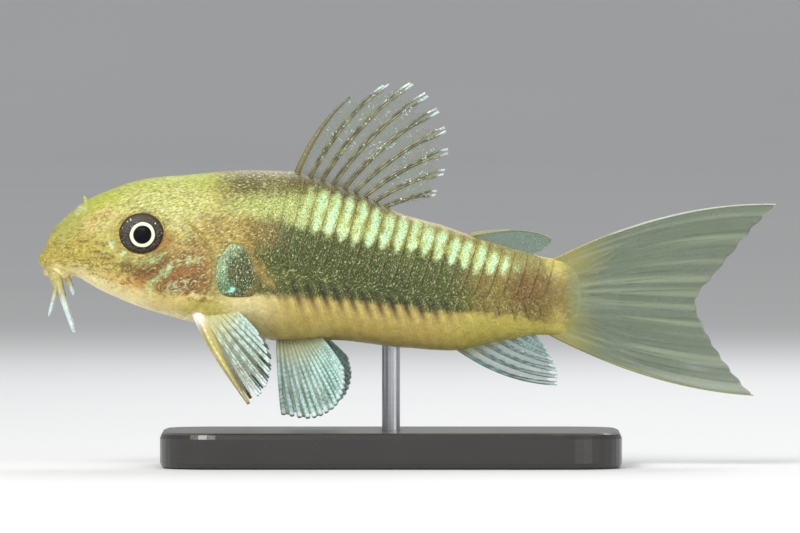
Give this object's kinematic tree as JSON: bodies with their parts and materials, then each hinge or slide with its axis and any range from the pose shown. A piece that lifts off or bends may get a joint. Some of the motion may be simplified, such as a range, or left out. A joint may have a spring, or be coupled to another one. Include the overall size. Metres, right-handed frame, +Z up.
{
  "type": "corydoras catfish model",
  "caption": "Life-size still model of a corydoras catfish swimming, with plated flanks, spread fins and mouth barbels, held by one rod over a flat base.",
  "frame": {"origin": "centre of the stand base's underside, right under the rod", "axes": "+Z up, +X from the snout towards the tail, -Y out of the fish's left side"},
  "size_m": [0.0742, 0.026, 0.0382],
  "materials": {
    "head_skin": "wet, scaleless skin, olive gold, satin",
    "flank_plates": "wet bony plates, dark olive with a mint sheen along the upper flank",
    "tail_plates": "wet bony plates, brown olive",
    "fin_clear": "thin clear membrane on olive rays",
    "fin_mint": "thin membrane on pale mint rays",
    "barbel_skin": "soft pale yellow skin",
    "eye_gloss": "clear gloss over a dark eye with a cream ring",
    "stand_base": "black, softly polished",
    "stand_rod": "fine brushed"
  },
  "bodies": {
    "root": {"head": "head_skin", "torso": "flank_plates", "tail": "tail_plates", "dorsal_fin": "fin_clear", "adipose_fin": "fin_clear", "anal_fin": "fin_clear", "caudal_fin": "fin_clear", "pectoral_fin_left": "fin_mint", "pectoral_fin_right": "fin_mint", "pelvic_fin_left": "fin_mint", "pelvic_fin_right": "fin_mint", "barbel_upper_left": "barbel_skin", "barbel_upper_right": "barbel_skin", "barbel_lower_left": "barbel_skin", "barbel_lower_right": "barbel_skin", "barbel_chin_left": "barbel_skin", "barbel_chin_right": "barbel_skin", "eye_left": "eye_gloss", "eye_right": "eye_gloss", "stand_base": "stand_base", "stand_rod": "stand_rod"}
  },
  "joints": []
}
